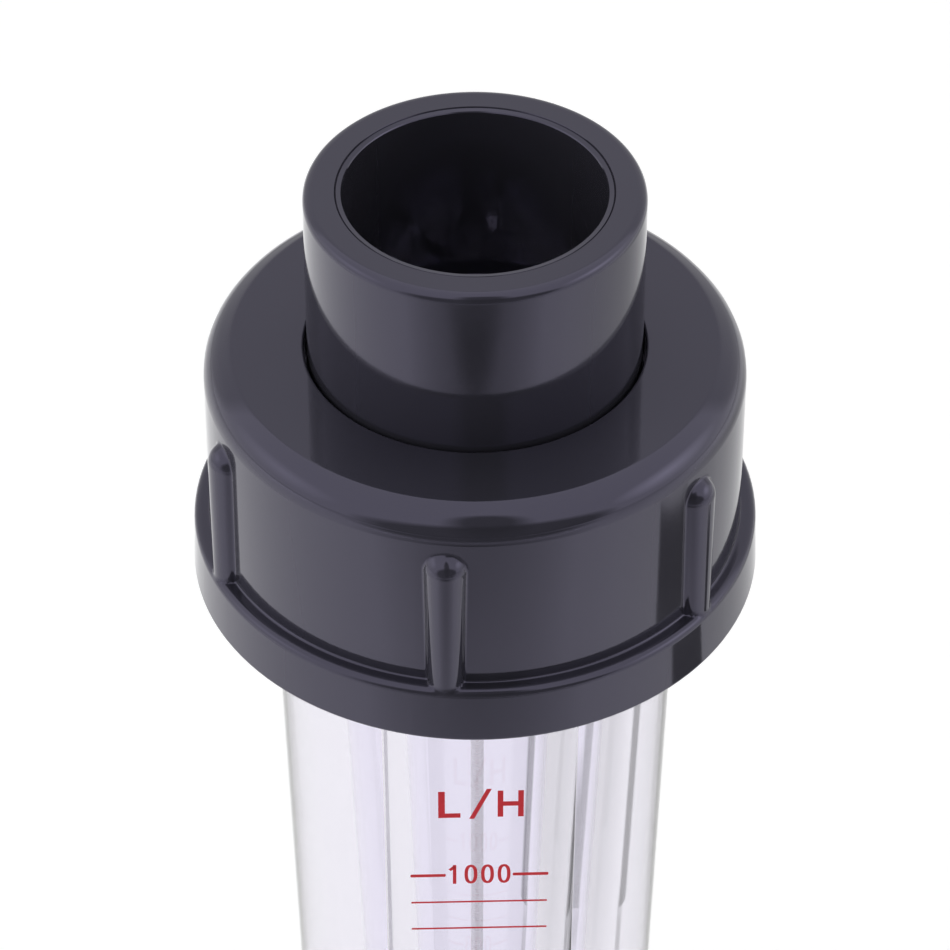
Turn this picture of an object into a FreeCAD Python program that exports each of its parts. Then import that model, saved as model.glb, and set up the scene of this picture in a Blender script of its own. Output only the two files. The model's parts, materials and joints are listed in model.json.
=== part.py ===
import FreeCAD, Part
import os
import re

from FreeCAD import Placement, Rotation, Vector

import Sketcher

# A rotameter with a clear tapered tube between two union ends. It stands on its inlet socket, with +Z
# along the flow and the scale's flat facing -Y. The origin is the centre of the inlet socket's mouth.

# Driving dimensions in millimetres and degrees: alias, value, meaning.
SIZES = (
    ("pipe_r", 10.1, "radius of the bore that takes the pipe"),
    ("pipe_depth", 16.0, "depth of that bore"),
    ("pipe_stop", 1.85, "width of the step that the pipe stops against"),
    ("socket_wall", 2.95, "wall of a pipe socket"),
    ("barrel_length", 18.1, "pipe socket from its mouth to its collar"),
    ("collar_thickness", 4.0, "thickness of the collar that the union nut pulls on"),
    ("collar_gap", 1.1, "gap between the collar and the root of the nut's thread"),
    ("mouth_edge", 0.7, "rounding of the mouth's outer edge"),
    ("mouth_chamfer", 0.25, "lead-in chamfer of the pipe's bore"),
    ("collar_edge", 0.3, "chamfer of the collar's edges"),
    ("nut_height", 21.3, "height of a union nut"),
    ("nut_wall", 2.65, "wall of a union nut outside its thread"),
    ("nut_hole_gap", 0.25, "gap between the nut's lip and the socket"),
    ("lip_thickness", 3.5, "thickness of the nut's lip over the collar"),
    ("shoulder_edge", 2.6, "rounding of the nut's shoulder"),
    ("flange_proud", 1.45, "how far the nut's flange stands out"),
    ("flange_draft", 0.2, "how much narrower the flange is at its shoulder"),
    ("flange_height", 4.9, "height of the nut's flange"),
    ("flange_edge", 0.6, "rounding of the flange's shoulder"),
    ("flange_foot_edge", 0.2, "rounding of the flange's foot"),
    ("flange_root", 0.2, "fillet between flange and nut"),
    ("rib_count", 6, "grip ribs round a nut"),
    ("rib_top_r", 1.7, "half-width of a rib at its domed top"),
    ("rib_foot_r", 1.43, "half-width of a rib at its foot"),
    ("rib_proud", 1.15, "how far a rib stands out of the nut"),
    ("rib_drop", 3.5, "from the nut's lip face down to the rib's dome"),
    ("rib_sink", 0.6, "how far a rib's foot runs into the flange"),
    ("outlet_nut_turn", 37.7, "where the outlet nut stopped when tightened"),
    ("inlet_nut_turn", 19.0, "where the inlet nut stopped when tightened"),
    ("thread_room", 1.25, "room for the thread between the tube and the nut"),
    ("thread_step", 0.87, "from the tube's widest outside out to its thread's core"),
    ("thread_inset", 1.2, "from the nut's open end in to the end of the tube's thread"),
    ("thread_runout", 0.8, "slope between each threaded end and the taper"),
    ("thread_chamfer", 0.6, "lead-in chamfer of the threads"),
    ("tube_length", 130.4, "length of the clear tube"),
    ("foot_wall", 5.49, "wall of the tube at the foot of its taper"),
    ("head_wall", 4.48, "wall of the tube at the head of its taper"),
    ("bore_growth", 3.7, "how much the bore's radius grows along the taper"),
    ("flat_depth", 2.0, "how deep the scale's flat is cut into the taper"),
    ("seat_step", 0.7, "width of the step that a rod support sits on"),
    ("seat_depth", 3.0, "depth of a rod support's seat"),
    ("seal_land", 0.8, "wall between the seat and the seal's groove"),
    ("seal_width", 2.6, "width of a sealing ring as squeezed"),
    ("seal_height", 2.2, "height of a sealing ring as squeezed"),
    ("seal_edge", 0.6, "bevel of a sealing ring's corners as squeezed"),
    ("seal_side_gap", 0.15, "room beside the sealing ring in its groove"),
    ("seal_proud", 0.2, "how far the sealing ring keeps the collar off the tube"),
    ("rod_r", 1.0, "radius of the guide rod"),
    ("rod_gap", 0.05, "running gap round the guide rod"),
    ("rod_overrun", 0.6, "rod beyond its end nuts"),
    ("rod_chamfer", 0.25, "chamfer of the rod's ends"),
    ("washer_width", 1.35, "width of a rod washer's ring"),
    ("washer_thickness", 0.4, "thickness of a rod washer"),
    ("rod_nut_wall", 1.3, "rod nut from the rod to its corners"),
    ("rod_nut_height", 1.6, "height of a rod nut"),
    ("ring_gap", 0.1, "gap round a rod support in its seat"),
    ("ring_lip", 0.3, "how far a rod support's ring reaches into the waterway"),
    ("hub_wall", 1.55, "wall of a rod support's hub"),
    ("hub_nose", 2.0, "bare end of each hub past its fins"),
    ("fin_count", 3, "fins of a rod support"),
    ("fin_thickness", 1.6, "thickness of a fin"),
    ("upper_stop_length", 28.0, "length of the upper support's hub"),
    ("lower_stop_length", 15.0, "length of the lower support's hub"),
    ("bumper_wall", 1.45, "wall of a rubber bumper"),
    ("bumper_length", 3.0, "length of a rubber bumper"),
    ("bumper_edge", 0.4, "chamfer of a bumper's edges"),
    ("float_r", 8.0, "radius of the float's metering edge"),
    ("float_gap", 0.2, "gap round the metering edge in the straight lower bore"),
    ("float_rim", 1.2, "height of the float's metering rim"),
    ("float_cone", 5.8, "height of the cone below the rim"),
    ("float_shelf", 2.4, "how far the rim stands out of the float's weight"),
    ("float_weight", 6.8, "height of the float's weight"),
    ("float_tip", 2.2, "height of the cone at the float's lower end"),
    ("float_land", 0.6, "flat round the bush at the float's lower end"),
    ("bush_wall", 0.85, "wall of a float bush"),
    ("bush_length", 4.2, "length of a float bush inside the float"),
    ("bush_flange_width", 1.1, "width of a float bush's flange"),
    ("bush_flange", 0.8, "thickness of that flange"),
    ("bush_edge", 0.25, "chamfer of that flange"),
)

# Radii, lengths and places that follow from the sizes: alias, formula, meaning.
PLACES = (
    ("barrel_r", "pipe_r + socket_wall", "outside radius of a pipe socket"),
    ("through_r", "pipe_r - pipe_stop", "radius of the waterway past the pipe's end"),
    ("rod_hole_r", "rod_r + rod_gap", "hole that runs or sits on the rod"),
    ("hub_r", "rod_hole_r + hub_wall", "radius of a rod support's hub"),
    ("bumper_r", "rod_hole_r + bumper_wall", "radius of a rubber bumper"),
    ("washer_r", "rod_hole_r + washer_width", "radius of a rod washer"),
    ("rod_nut_corner_r", "rod_r + rod_nut_wall", "radius over a rod nut's corners"),
    ("bush_r", "rod_hole_r + bush_wall", "outside radius of a float bush"),
    ("bush_flange_r", "bush_r + bush_flange_width", "radius of a float bush's flange"),
    ("float_tip_r", "bush_flange_r + float_land", "radius of the float's lower end"),
    ("float_weight_r", "float_r - float_shelf", "radius of the float's weight"),
    ("float_waist", "float_tip + float_weight", "height where the float's cone begins"),
    ("float_length", "float_waist + float_cone + float_rim", "length of the float's body"),
    ("bore_foot_r", "float_r + float_gap", "radius of the straight lower bore"),
    ("bore_head_r", "bore_foot_r + bore_growth", "radius of the tapered bore at its top"),
    ("tube_foot_r", "bore_foot_r + foot_wall", "outside radius at the foot of the taper"),
    ("tube_head_r", "bore_head_r + head_wall", "outside radius at the head of the taper"),
    ("thread_core_r", "tube_head_r + thread_step", "core radius of the tube's threads"),
    ("thread_root_r", "thread_core_r + thread_room", "root radius of the nut's thread"),
    ("collar_r", "thread_root_r - collar_gap", "radius of a socket's collar"),
    ("nut_r", "thread_root_r + nut_wall", "outside radius of a union nut"),
    ("nut_hole_r", "barrel_r + nut_hole_gap", "hole of a nut's lip"),
    ("flange_r", "nut_r + flange_proud", "radius of a nut's flange"),
    ("flange_start", "nut_height - flange_height", "flange's shoulder from the lip face"),
    ("rib_line_r", "nut_r + rib_proud", "radius of the ribs' outermost line"),
    ("seat_r", "bore_head_r + seat_step", "radius of a rod support's seat"),
    ("ring_outer_r", "seat_r - ring_gap", "outside radius of a rod support"),
    ("ring_inner_r", "bore_foot_r - ring_lip", "inside radius of a rod support's ring"),
    ("groove_inner_r", "seat_r + seal_land", "inner wall of a seal's groove"),
    ("seal_inner_r", "groove_inner_r + seal_side_gap", "inside radius of a sealing ring"),
    ("seal_outer_r", "seal_inner_r + seal_width", "outside radius of a sealing ring"),
    ("groove_outer_r", "seal_outer_r + seal_side_gap", "outer wall of a seal's groove"),
    ("groove_depth", "seal_height - seal_proud", "depth of a seal's groove"),
    ("socket_length", "barrel_length + collar_thickness", "whole length of a pipe socket"),
    ("tube_base", "socket_length + seal_proud", "lower end of the tube"),
    ("tube_top", "tube_base + tube_length", "upper end of the tube"),
    ("overall_height", "tube_top + tube_base", "mouth of the outlet socket"),
    ("nut_base", "barrel_length - lip_thickness", "lip face of the inlet nut"),
    ("thread_length", "nut_base + nut_height - thread_inset - tube_base", "a threaded end"),
    ("taper_foot", "thread_length + thread_runout", "foot of the outside taper, in the tube"),
    ("taper_head", "tube_length - taper_foot", "head of the outside taper, in the tube"),
    ("float_seat", "lower_stop_length + bumper_length + bush_flange", "float's base, in the tube"),
    ("bore_start", "float_seat + float_length", "where the bore begins to widen, in the tube"),
    ("float_base", "tube_base + float_seat", "float's base at rest"),
    ("rod_end", "washer_thickness + rod_nut_height + rod_overrun", "rod beyond each end of the tube"),
)

NEAR = 0.001

doc = FreeCAD.newDocument("rotameter")
owner = {}


def fill_sheet(title, rows, as_formula):
    """A sheet of aliased cells, one row for each size or place."""
    sheet = doc.addObject("Spreadsheet::Sheet", title)
    for line, (alias, content, meaning) in enumerate(rows, 1):
        owner[alias] = title
        text = "=" + bound(content) if as_formula else str(content)
        sheet.set("A%d" % line, alias)
        sheet.set("B%d" % line, text)
        sheet.setAlias("B%d" % line, alias)
        sheet.set("C%d" % line, meaning)
    doc.recompute()
    return sheet


def bound(formula):
    """The formula with each alias written as a reference to its sheet."""
    def refer(word):
        name = word.group()
        return owner[name] + "." + name if name in owner else name
    return re.sub(r"[a-z][a-z_]*[a-z]", refer, formula)


def value(formula):
    """What a formula of aliases comes to, in millimetres or degrees."""
    return float(sizes.evalExpression(bound(formula)))


def origin_feature(body, role):
    """One of the body's own origin planes or axes."""
    return next(item for item in body.Origin.OriginFeatures if item.Role == role)


def new_body(label):
    body = doc.addObject("PartDesign::Body", label)
    body.Label = label
    return body


def new_sketch(body, name, plane, offset=None):
    """An empty sketch on one of the body's origin planes, or parallel to it at an offset."""
    sketch = body.newObject("Sketcher::SketchObject", name)
    sketch.AttachmentSupport = [(origin_feature(body, plane), "")]
    sketch.MapMode = "FlatFace"
    if offset:
        sketch.setExpression("AttachmentOffset.Base.z", bound(offset))
    return sketch


def pin_point(sketch, curve, end, across, up):
    """Hold one point of a sketch at a place that follows the sheet."""
    for kind, formula in (("DistanceX", across), ("DistanceY", up)):
        amount = value(formula)
        if abs(amount) < NEAR:
            axis = -2 if kind == "DistanceX" else -1
            sketch.addConstraint(Sketcher.Constraint("PointOnObject", curve, end, axis))
            continue
        ends = (-1, 1, curve, end) if amount > 0 else (curve, end, -1, 1)
        signed = formula if amount > 0 else "-(%s)" % formula
        index = sketch.addConstraint(Sketcher.Constraint(kind, *ends, abs(amount)))
        sketch.setExpression("Constraints[%d]" % index, bound(signed))


def draw_outline(sketch, corners):
    """A closed outline of straight lines whose corners are formulas of the sizes."""
    points = [Vector(value(across), value(up), 0) for across, up in corners]
    count = len(points)
    for index in range(count):
        sketch.addGeometry(Part.LineSegment(points[index], points[(index + 1) % count]), False)
    for index in range(count):
        sketch.addConstraint(Sketcher.Constraint("Coincident", index, 2, (index + 1) % count, 1))
    for index, (across, up) in enumerate(corners):
        pin_point(sketch, index, 1, across, up)


def draw_circle(sketch, radius, across="0"):
    """A circle whose centre lies on the sketch's horizontal axis."""
    centre = Vector(value(across), 0, 0)
    curve = sketch.addGeometry(Part.Circle(centre, Vector(0, 0, 1), value(radius)), False)
    pin_point(sketch, curve, 3, across, "0")
    index = sketch.addConstraint(Sketcher.Constraint("Radius", curve, value(radius)))
    sketch.setExpression("Constraints[%d]" % index, bound(radius))


def revolve(body, name, corners, cut=False):
    """Turn an outline of (radius, height) corners about the body's Z axis, to add or to cut."""
    sketch = new_sketch(body, name + "_outline", "XZ_Plane")
    draw_outline(sketch, corners)
    feature = body.newObject("PartDesign::Groove" if cut else "PartDesign::Revolution", name)
    feature.Profile = sketch
    feature.ReferenceAxis = (sketch, ["V_Axis"])
    feature.Angle = 360
    doc.recompute()
    return feature


def ring_edges(feature, rings):
    """Names of the feature's circular edges at the given (radius, height) pairs."""
    wanted = [(value(radius), value(height)) for radius, height in rings]
    names = []
    for index, edge in enumerate(feature.Shape.Edges, 1):
        if not isinstance(edge.Curve, Part.Circle):
            continue
        found = (edge.Curve.Radius, edge.Curve.Center.z)
        if any(abs(found[0] - r) < NEAR and abs(found[1] - z) < NEAR for r, z in wanted):
            names.append("Edge%d" % index)
    return names


def soften(body, name, kind, size, rings):
    """Fillet or chamfer the circular edges at the given (radius, height) pairs."""
    base = body.Tip
    feature = body.newObject("PartDesign::" + kind, name)
    feature.Base = (base, ring_edges(base, rings))
    feature.setExpression("Radius" if kind == "Fillet" else "Size", bound(size))
    doc.recompute()


def polar_pattern(body, name, features, count):
    """Repeat features evenly about the body's Z axis."""
    pattern = body.newObject("PartDesign::PolarPattern", name)
    pattern.Originals = features
    pattern.Axis = (origin_feature(body, "Z_Axis"), [""])
    pattern.Angle = 360
    pattern.setExpression("Occurrences", bound(count))
    body.Tip = pattern
    doc.recompute()


def place(piece, height, flipped=False, turn="0"):
    """Set a piece at a height, turned about its axis and, for the outlet end, upside down."""
    turned = Rotation(Vector(0, 0, 1), value(turn))
    over = Rotation(Vector(1, 0, 0), 180 if flipped else 0)
    piece.Placement = Placement(Vector(0, 0, value(height)), over * turned)
    return piece


def pipe_socket(label):
    """Plain pipe socket with a collar, from its mouth at zero towards the tube."""
    body = new_body(label)
    revolve(body, label + "_turned", (
        ("pipe_r", "0"),
        ("barrel_r", "0"),
        ("barrel_r", "barrel_length"),
        ("collar_r", "barrel_length"),
        ("collar_r", "socket_length"),
        ("through_r", "socket_length"),
        ("through_r", "pipe_depth"),
        ("pipe_r", "pipe_depth"),
    ))
    soften(body, label + "_mouth_edge", "Fillet", "mouth_edge", [("barrel_r", "0")])
    soften(body, label + "_collar_edges", "Chamfer", "collar_edge",
           [("collar_r", "barrel_length"), ("collar_r", "socket_length")])
    soften(body, label + "_lead_in", "Chamfer", "mouth_chamfer", [("pipe_r", "0")])
    return body


def new_rib_solid(body, kind, name):
    """A round solid centred where a rib's bar meets its dome."""
    solid = body.newObject("PartDesign::Additive" + kind, name)
    solid.AttachmentSupport = [(origin_feature(body, "XY_Plane"), "")]
    solid.MapMode = "FlatFace"
    solid.setExpression("AttachmentOffset.Base.x", bound("rib_line_r - rib_top_r"))
    solid.setExpression("AttachmentOffset.Base.z", bound("rib_drop + rib_top_r"))
    return solid


def union_nut(label):
    """Ribbed union nut, from its lip face at zero towards its flange."""
    body = new_body(label)
    shoulder_r = "flange_r - flange_draft"
    revolve(body, label + "_turned", (
        ("0", "0"),
        ("nut_r", "0"),
        ("nut_r", "flange_start"),
        (shoulder_r, "flange_start"),
        ("flange_r", "nut_height"),
        ("0", "nut_height"),
    ))
    soften(body, label + "_shoulder", "Fillet", "shoulder_edge", [("nut_r", "0")])
    soften(body, label + "_flange_root", "Fillet", "flange_root", [("nut_r", "flange_start")])
    soften(body, label + "_flange_shoulder", "Fillet", "flange_edge", [(shoulder_r, "flange_start")])
    soften(body, label + "_flange_foot", "Fillet", "flange_foot_edge", [("flange_r", "nut_height")])

    # A rib is a tapering half-round bar with a domed top. It leans so that its outermost line is upright.
    bar_length = "(flange_start + rib_sink - rib_drop - rib_top_r)"
    bar = new_rib_solid(body, "Cone", label + "_rib_bar")
    bar.setExpression("Radius1", bound("rib_top_r"))
    bar.setExpression("Radius2", bound("rib_foot_r"))
    bar.setExpression("Height", bound(bar_length))
    lean = "atan((rib_top_r - rib_foot_r) / %s)" % bar_length
    bar.AttachmentOffset = Placement(Vector(), Rotation(Vector(0, 1, 0), value(lean)))
    bar.setExpression("AttachmentOffset.Rotation.Angle", bound(lean))
    dome = new_rib_solid(body, "Sphere", label + "_rib_dome")
    dome.setExpression("Radius", bound("rib_top_r"))
    doc.recompute()
    polar_pattern(body, label + "_ribs", [bar, dome], "rib_count")

    # The bore comes last, so that it is clean inside the ribs.
    revolve(body, label + "_bore", (
        ("0", "0"),
        ("nut_hole_r", "0"),
        ("nut_hole_r", "lip_thickness"),
        ("thread_root_r", "lip_thickness"),
        ("thread_root_r", "nut_height"),
        ("0", "nut_height"),
    ), cut=True)
    soften(body, label + "_lead_in", "Chamfer", "thread_chamfer", [("thread_root_r", "nut_height")])
    return body


def measuring_tube():
    """Clear tube with a tapered bore and outside, a flat for the scale and two threaded ends."""
    body = new_body("measuring_tube")
    revolve(body, "tube_wall", (
        ("seat_r", "0"),
        ("thread_core_r", "0"),
        ("thread_core_r", "thread_length"),
        ("tube_foot_r", "taper_foot"),
        ("tube_head_r", "taper_head"),
        ("thread_core_r", "tube_length - thread_length"),
        ("thread_core_r", "tube_length"),
        ("seat_r", "tube_length"),
        ("seat_r", "tube_length - seat_depth"),
        ("bore_head_r", "tube_length - seat_depth"),
        ("bore_foot_r", "bore_start"),
        ("bore_foot_r", "seat_depth"),
        ("seat_r", "seat_depth"),
    ))
    soften(body, "tube_lead_ins", "Chamfer", "thread_chamfer",
           [("thread_core_r", "0"), ("thread_core_r", "tube_length")])
    revolve(body, "lower_seal_groove", (
        ("groove_inner_r", "0"),
        ("groove_outer_r", "0"),
        ("groove_outer_r", "groove_depth"),
        ("groove_inner_r", "groove_depth"),
    ), cut=True)
    revolve(body, "upper_seal_groove", (
        ("groove_inner_r", "tube_length"),
        ("groove_outer_r", "tube_length"),
        ("groove_outer_r", "tube_length - groove_depth"),
        ("groove_inner_r", "tube_length - groove_depth"),
    ), cut=True)

    # The flat follows the taper, so it is cut with a slanting wedge from the front.
    wedge = new_sketch(body, "flat_wedge", "YZ_Plane")
    draw_outline(wedge, (
        ("-(tube_foot_r - flat_depth)", "taper_foot"),
        ("-(tube_head_r - flat_depth)", "taper_head"),
        ("-(thread_core_r + flat_depth)", "taper_head"),
        ("-(thread_core_r + flat_depth)", "taper_foot"),
    ))
    before = body.Tip.Shape.Volume
    flat = body.newObject("PartDesign::Pocket", "scale_flat")
    flat.Profile = wedge
    flat.Midplane = True
    flat.setExpression("Length", bound("4 * thread_core_r"))
    doc.recompute()
    if flat.Shape.Volume >= before:
        raise ValueError("the scale's flat cuts nothing")
    return body


def seal(label):
    """Sealing ring as squeezed in its groove, from the groove's floor upwards."""
    body = new_body(label)
    revolve(body, label + "_ring", (
        ("seal_inner_r", "0"),
        ("seal_outer_r", "0"),
        ("seal_outer_r", "seal_height"),
        ("seal_inner_r", "seal_height"),
    ))
    soften(body, label + "_bevels", "Chamfer", "seal_edge", [
        ("seal_inner_r", "0"),
        ("seal_outer_r", "0"),
        ("seal_inner_r", "seal_height"),
        ("seal_outer_r", "seal_height"),
    ])
    return body


def rod_support(label, stop_length):
    """Ring, three fins and a long hub that centres the guide rod and stops the float."""
    body = new_body(label)
    revolve(body, label + "_hub", (
        ("rod_hole_r", "0"),
        ("hub_r", "0"),
        ("hub_r", stop_length),
        ("rod_hole_r", stop_length),
    ))
    outline = new_sketch(body, label + "_fin_outline", "XZ_Plane")
    root_r = "(rod_hole_r + hub_r) / 2"
    draw_outline(outline, (
        (root_r, "0"),
        ("(ring_inner_r + ring_outer_r) / 2", "0"),
        ("(ring_inner_r + ring_outer_r) / 2", "seat_depth"),
        ("ring_inner_r", "seat_depth"),
        (root_r, stop_length + " - hub_nose"),
    ))
    fin = body.newObject("PartDesign::Pad", label + "_fin")
    fin.Profile = outline
    fin.Midplane = True
    fin.setExpression("Length", bound("fin_thickness"))
    doc.recompute()
    polar_pattern(body, label + "_fins", [fin], "fin_count")
    revolve(body, label + "_ring", (
        ("ring_inner_r", "0"),
        ("ring_outer_r", "0"),
        ("ring_outer_r", "seat_depth"),
        ("ring_inner_r", "seat_depth"),
    ))
    return body


def collar_on_rod(label, radius, length, edge=None):
    """A plain ring that sits on the guide rod, such as a washer or a bumper."""
    body = new_body(label)
    revolve(body, label + "_ring", (
        ("rod_hole_r", "0"),
        (radius, "0"),
        (radius, length),
        ("rod_hole_r", length),
    ))
    if edge:
        soften(body, label + "_edges", "Chamfer", edge, [(radius, "0"), (radius, length)])
    return body


def rod_nut(label):
    """Small hexagon nut on an end of the guide rod."""
    hexagon = doc.addObject("Part::Prism", label + "_hexagon")
    hexagon.Polygon = 6
    hexagon.setExpression("Circumradius", bound("rod_nut_corner_r"))
    hexagon.setExpression("Height", bound("rod_nut_height"))
    hole = doc.addObject("Part::Cylinder", label + "_hole")
    hole.setExpression("Radius", bound("rod_r"))
    hole.setExpression("Height", bound("rod_nut_height"))
    nut = doc.addObject("Part::Cut", label)
    nut.Base = hexagon
    nut.Tool = hole
    nut.Label = label
    doc.recompute()
    return nut


def guide_rod():
    """Straight rod that the float slides on, with chamfered ends."""
    body = new_body("guide_rod")
    length = "tube_length + 2 * rod_end"
    sketch = new_sketch(body, "rod_section", "XY_Plane")
    draw_circle(sketch, "rod_r")
    bar = body.newObject("PartDesign::Pad", "rod_bar")
    bar.Profile = sketch
    bar.setExpression("Length", bound(length))
    doc.recompute()
    soften(body, "rod_ends", "Chamfer", "rod_chamfer", [("rod_r", "0"), ("rod_r", length)])
    return body


def float_body():
    """Turned float: tip, weight, cone and the sharp rim that is read against the scale."""
    body = new_body("float_body")
    revolve(body, "float_turned", (
        ("bush_r", "0"),
        ("float_tip_r", "0"),
        ("float_weight_r", "float_tip"),
        ("float_weight_r", "float_waist"),
        ("float_r", "float_length - float_rim"),
        ("float_r", "float_length"),
        ("bush_r", "float_length"),
    ))
    return body


def float_bush(label):
    """Flanged bush that carries the float on the rod, from its flange's face inwards."""
    body = new_body(label)
    revolve(body, label + "_turned", (
        ("rod_hole_r", "0"),
        ("bush_flange_r", "0"),
        ("bush_flange_r", "bush_flange"),
        ("bush_r", "bush_flange"),
        ("bush_r", "bush_flange + bush_length"),
        ("rod_hole_r", "bush_flange + bush_length"),
    ))
    soften(body, label + "_edge", "Chamfer", "bush_edge", [("bush_flange_r", "0")])
    return body


sizes = fill_sheet("Sizes", SIZES, False)
places = fill_sheet("Places", PLACES, True)

float_top = "float_base + float_length"
lower_nut_place = "tube_base - washer_thickness - rod_nut_height"
upper_nut_place = "tube_top + washer_thickness + rod_nut_height"
upper_bumper_place = "tube_top - upper_stop_length"

pieces = [
    place(pipe_socket("inlet_socket"), "0"),
    place(union_nut("inlet_nut"), "nut_base", turn="inlet_nut_turn"),
    place(seal("inlet_seal"), "socket_length"),
    place(measuring_tube(), "tube_base"),
    place(rod_support("lower_rod_support", "lower_stop_length"), "tube_base"),
    place(collar_on_rod("lower_bumper", "bumper_r", "bumper_length", "bumper_edge"),
          "tube_base + lower_stop_length"),
    place(collar_on_rod("lower_rod_washer", "washer_r", "washer_thickness"),
          "tube_base - washer_thickness"),
    place(rod_nut("lower_rod_nut"), lower_nut_place),
    place(guide_rod(), "tube_base - rod_end"),
    place(float_body(), "float_base"),
    place(float_bush("float_lower_bush"), "float_base - bush_flange"),
    place(float_bush("float_upper_bush"), float_top + " + bush_flange", flipped=True),
    place(rod_support("upper_rod_support", "upper_stop_length"), "tube_top", flipped=True),
    place(collar_on_rod("upper_bumper", "bumper_r", "bumper_length", "bumper_edge"),
          upper_bumper_place, flipped=True),
    place(collar_on_rod("upper_rod_washer", "washer_r", "washer_thickness"),
          "tube_top + washer_thickness", flipped=True),
    place(rod_nut("upper_rod_nut"), upper_nut_place, flipped=True),
    place(seal("outlet_seal"), "tube_top + seal_proud", flipped=True),
    place(pipe_socket("outlet_socket"), "overall_height", flipped=True),
    place(union_nut("outlet_nut"), "overall_height - nut_base", flipped=True, turn="outlet_nut_turn"),
]
doc.recompute()

for item in doc.Objects:
    if "Invalid" in item.State or "Error" in item.State:
        raise ValueError("%s did not build: %s" % (item.Label, item.State))
for piece in pieces:
    if piece.Shape.isNull() or not piece.Shape.isValid():
        raise ValueError("%s has no valid shape" % piece.Label)

os.makedirs("parts", exist_ok=True)
for piece in pieces:
    piece.Shape.exportStep(os.path.join("parts", piece.Label + ".step"))
    print("%-20s %9.2f mm3  %d solid" % (piece.Label, piece.Shape.Volume, len(piece.Shape.Solids)))
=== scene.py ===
import math

import bmesh
import bpy
import numpy as np
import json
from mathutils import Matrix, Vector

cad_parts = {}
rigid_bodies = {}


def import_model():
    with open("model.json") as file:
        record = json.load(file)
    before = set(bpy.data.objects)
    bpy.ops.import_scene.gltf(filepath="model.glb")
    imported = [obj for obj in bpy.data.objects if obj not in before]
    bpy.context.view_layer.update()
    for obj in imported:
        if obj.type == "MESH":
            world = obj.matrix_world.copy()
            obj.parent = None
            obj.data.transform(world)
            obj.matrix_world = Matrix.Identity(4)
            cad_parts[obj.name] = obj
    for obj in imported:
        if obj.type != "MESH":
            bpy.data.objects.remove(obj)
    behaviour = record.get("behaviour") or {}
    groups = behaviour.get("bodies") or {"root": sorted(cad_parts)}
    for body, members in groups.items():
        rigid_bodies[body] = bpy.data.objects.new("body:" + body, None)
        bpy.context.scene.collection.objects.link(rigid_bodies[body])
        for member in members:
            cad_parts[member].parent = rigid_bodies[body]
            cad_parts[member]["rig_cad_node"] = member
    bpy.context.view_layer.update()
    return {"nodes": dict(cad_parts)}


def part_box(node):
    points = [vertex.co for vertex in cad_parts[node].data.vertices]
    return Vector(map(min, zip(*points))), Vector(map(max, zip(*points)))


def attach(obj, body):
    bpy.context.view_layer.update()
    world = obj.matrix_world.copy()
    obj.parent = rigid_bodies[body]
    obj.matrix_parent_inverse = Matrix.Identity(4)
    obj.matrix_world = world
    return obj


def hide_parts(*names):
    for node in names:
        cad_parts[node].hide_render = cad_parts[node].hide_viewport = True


MM = 0.001
FULL_TURN = 2 * math.pi

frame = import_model()
nodes = frame["nodes"]


def heights(node):
    """Lowest and highest point of a CAD node, in millimetres."""
    low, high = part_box(node)
    return low.z / MM, high.z / MM


# Sizes in millimetres and degrees, as the solids have them.
SOCKET_FOOT, SOCKET_TOP = heights("inlet_socket")
NUT_FOOT, NUT_TOP = heights("inlet_nut")
TUBE_FOOT, TUBE_TOP = heights("measuring_tube")
METER_TOP = heights("outlet_socket")[1]
NUT_HEIGHT = NUT_TOP - NUT_FOOT
TUBE_LENGTH = TUBE_TOP - TUBE_FOOT

PIPE_R = 10.1
PIPE_DEPTH = 16.0
BARREL_R = 13.05
BARREL_LENGTH = 18.1
BARREL_EDGE = 0.7
THROUGH_R = 8.25
COLLAR_R = 17.4
COLLAR_EDGE = 0.3

NUT_R = 21.15
NUT_HOLE_R = 13.3
LIP_THICKNESS = 3.5
SHOULDER = 2.6
SHOULDER_LINE = 19.05
FLANGE_R = 22.6
FLANGE_DRAFT = 0.2
FLANGE_START = 16.4
FLANGE_EDGE = 0.6
FLANGE_FOOT_EDGE = 0.2
FLANGE_ROOT = 0.2

RIB_COUNT = 6
RIB_LINE_R = 22.3
RIB_TOP_R = 1.7
RIB_FOOT_R = 1.43
RIB_DROP = 3.5
RIB_SINK = 0.6
RIB_ROOT = 0.15
OUTLET_NUT_TURN = 37.7
INLET_NUT_TURN = 19.0

PITCH = 3.0
THREAD_CORE_R = 17.25
THREAD_CREST_R = 18.15
NUT_THREAD_ROOT_R = 18.5
NUT_THREAD_CREST_R = 17.5
THREAD_LENGTH = 12.4
LEAD_IN = 0.6
RUNOUT = 0.8
TAPER_FOOT = THREAD_LENGTH + RUNOUT
TAPER_HEAD = TUBE_LENGTH - TAPER_FOOT
TUBE_FOOT_R = 13.69
TUBE_HEAD_R = 16.38
FLAT_DEPTH = 2.0
FLAT_EDGE = 0.12
SEAT_R = 12.6
SEAT_DEPTH = 3.0
BORE_FOOT_R = 8.2
BORE_HEAD_R = 11.9
BORE_START = 34.8
GROOVE_INNER_R = 13.4
GROOVE_OUTER_R = 16.3
GROOVE_DEPTH = 2.0


# Mesh code.

SHARP_ANGLE = 28


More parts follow.
